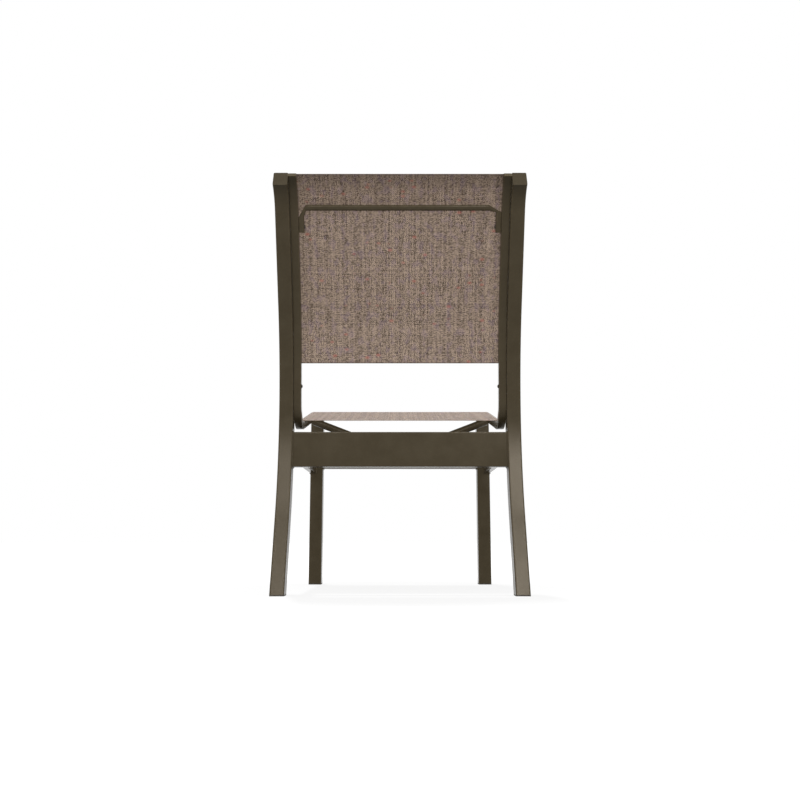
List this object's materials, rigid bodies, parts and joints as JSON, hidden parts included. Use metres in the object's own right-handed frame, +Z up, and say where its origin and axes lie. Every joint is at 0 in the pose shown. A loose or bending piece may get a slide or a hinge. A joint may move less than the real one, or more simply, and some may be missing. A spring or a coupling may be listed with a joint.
{
  "type": "sling patio chair",
  "caption": "Armless outdoor dining chair with curved box-tube legs, bent rails and a taut mesh sling for the seat and the back.",
  "frame": {"origin": "centre of the base of the chair's box, on the floor that the feet stand on", "axes": "+Z up, -Y is the way the sitter faces, +X is the sitter's left"},
  "size_m": [0.555, 0.6378, 0.9147],
  "materials": {
    "bronze_powder_coat": "satin textured powder coat on aluminium",
    "sling_fabric": "matt vinyl-coated mesh in a taupe slub weave",
    "dark_plastic": "matt moulded plastic",
    "rod_plastic": "smooth extruded plastic",
    "dark_steel": "satin bronze-coated steel"
  },
  "bodies": {
    "root": {"rear_leg_left": "bronze_powder_coat", "rear_leg_right": "bronze_powder_coat", "rear_leg_cap_left": "bronze_powder_coat", "rear_leg_cap_right": "bronze_powder_coat", "rear_foot_glide_left": "dark_plastic", "rear_foot_glide_right": "dark_plastic", "front_leg_left": "bronze_powder_coat", "front_leg_right": "bronze_powder_coat", "front_leg_plug_left": "dark_plastic", "front_leg_plug_right": "dark_plastic", "front_foot_glide_left": "dark_plastic", "front_foot_glide_right": "dark_plastic", "side_stretcher_left": "bronze_powder_coat", "side_stretcher_right": "bronze_powder_coat", "sling_rail_left": "bronze_powder_coat", "sling_rail_right": "bronze_powder_coat", "rail_top_cap_left": "dark_plastic", "rail_top_cap_right": "dark_plastic", "rail_front_cap_left": "dark_plastic", "rail_front_cap_right": "dark_plastic", "back_spline_rod_left": "rod_plastic", "back_spline_rod_right": "rod_plastic", "seat_spline_rod_left": "rod_plastic", "seat_spline_rod_right": "rod_plastic", "waist_bolt_left": "dark_steel", "waist_bolt_right": "dark_steel", "back_spreader_screw_left": "dark_steel", "back_spreader_screw_right": "dark_steel", "seat_spreader_bolt_left": "dark_steel", "seat_spreader_bolt_right": "dark_steel", "seat_spreader_plug_left": "dark_steel", "seat_spreader_plug_right": "dark_steel", "rear_crossbar": "bronze_powder_coat", "front_crossbar": "bronze_powder_coat", "back_sling": "sling_fabric", "seat_sling": "sling_fabric", "back_spreader": "bronze_powder_coat", "seat_spreader": "bronze_powder_coat"}
  },
  "joints": []
}
